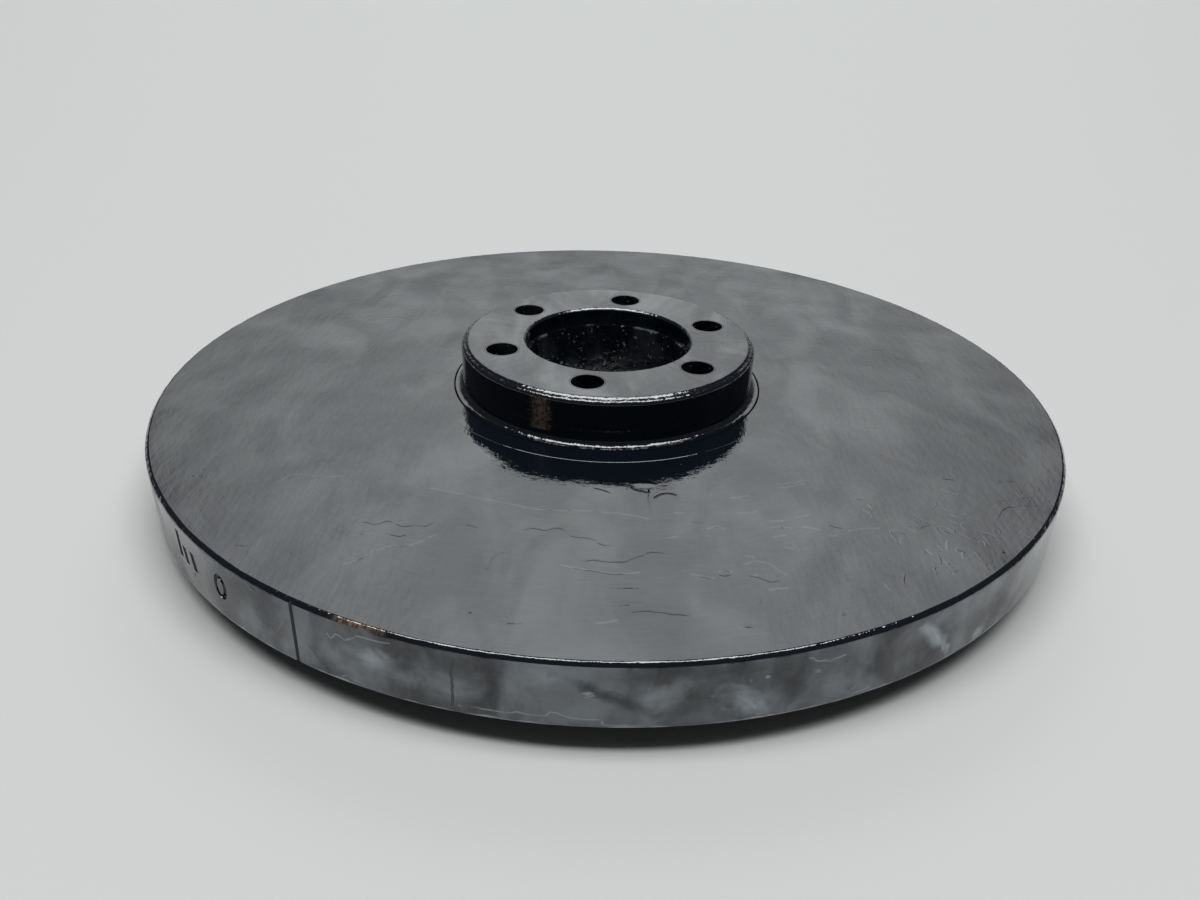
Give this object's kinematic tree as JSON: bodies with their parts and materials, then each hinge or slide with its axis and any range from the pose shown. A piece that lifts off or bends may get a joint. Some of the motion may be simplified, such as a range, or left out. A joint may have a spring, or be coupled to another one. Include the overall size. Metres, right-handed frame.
{
  "type": "harmonic balancer",
  "caption": "Disc-type rubber vibration damper: a heavy painted steel disc bonded by a rubber ring to a flanged hub with a bolt circle and a stepped bore.",
  "frame": {"origin": "on the axis, at the rear seat of the hub, which is the lowest plane of the part", "axes": "+Z along the axis towards the front of the part, where the boss stands; +Y away from the viewer of the picture; +X to the right"},
  "size_m": [0.24, 0.24, 0.0335],
  "materials": {
    "hub_paint": "gloss black brushed-on paint over turned steel",
    "disc_paint": "gloss black brushed-on paint, slightly crazed, over turned steel",
    "damper_rubber": "matt black moulded rubber"
  },
  "bodies": {
    "root": {"hub": "hub_paint", "rubber_ring": "damper_rubber", "inertia_disc": "disc_paint"}
  },
  "joints": []
}
